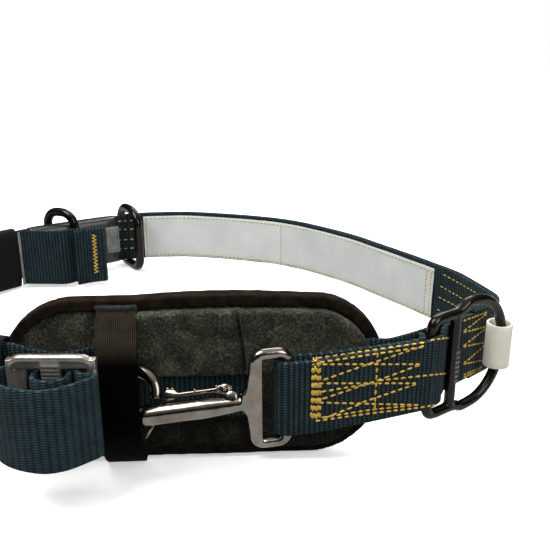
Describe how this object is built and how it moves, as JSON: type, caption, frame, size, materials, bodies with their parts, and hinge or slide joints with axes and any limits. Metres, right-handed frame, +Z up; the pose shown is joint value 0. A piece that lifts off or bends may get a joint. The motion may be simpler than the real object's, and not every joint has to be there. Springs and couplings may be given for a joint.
{
  "type": "padded escape belt",
  "caption": "Closed waist belt of webbing with a felt pad, a snap hook under an elastic loop, a slide, keeper rings and a slotted D-ring, standing on its lower edges.",
  "frame": {"origin": "centre of the belt's box on the table it stands on", "axes": "+Z up; the near side with the pad and the hook faces -Y; the D-ring is at +X"},
  "size_m": [0.488, 0.4636, 0.1119],
  "materials": {
    "navy_webbing": "ribbed polyester webbing",
    "black_webbing": "ribbed black webbing",
    "grey_felt": "brushed felt cloth",
    "black_binding": "woven edge tape",
    "black_leather": "smooth leather",
    "pale_satin": "coated satin cloth",
    "pale_plastic": "smooth tube",
    "black_steel": "gloss black coat",
    "chrome_steel": "polished plate"
  },
  "bodies": {
    "belt": {"back_strap": "navy_webbing", "d_ring": "black_steel", "far_strap_inner": "navy_webbing", "far_strap_outer": "navy_webbing", "hook_body": "chrome_steel", "hook_strap": "navy_webbing", "keeper_ring_a": "black_steel", "keeper_ring_b": "black_steel", "label_panel": "pale_satin", "leather_patch": "black_leather", "leather_front": "black_leather", "leather_back": "black_leather", "near_strap": "navy_webbing", "pad_binding": "black_binding", "pad_core": "grey_felt", "pad_cover": "grey_felt", "pad_loop": "black_webbing", "ring_sleeve": "pale_plastic", "slide_buckle": "chrome_steel", "slide_inner_loop": "navy_webbing", "slide_outer_loop": "navy_webbing", "strap_tail": "navy_webbing", "turn_sleeve": "black_webbing"},
    "gate": {"hook_gate": "chrome_steel"}
  },
  "joints": [
    {"name": "gate_pivot", "type": "hinge", "parent": "belt", "child": "gate", "pos_m": [0.04204, -0.18596, 0.06145], "axis": [-0.081, -0.829, 0.5533], "range_deg": [-24, 0], "stiffness_Nm_per_rad": 0.03, "springref_deg": 5.73}
  ]
}
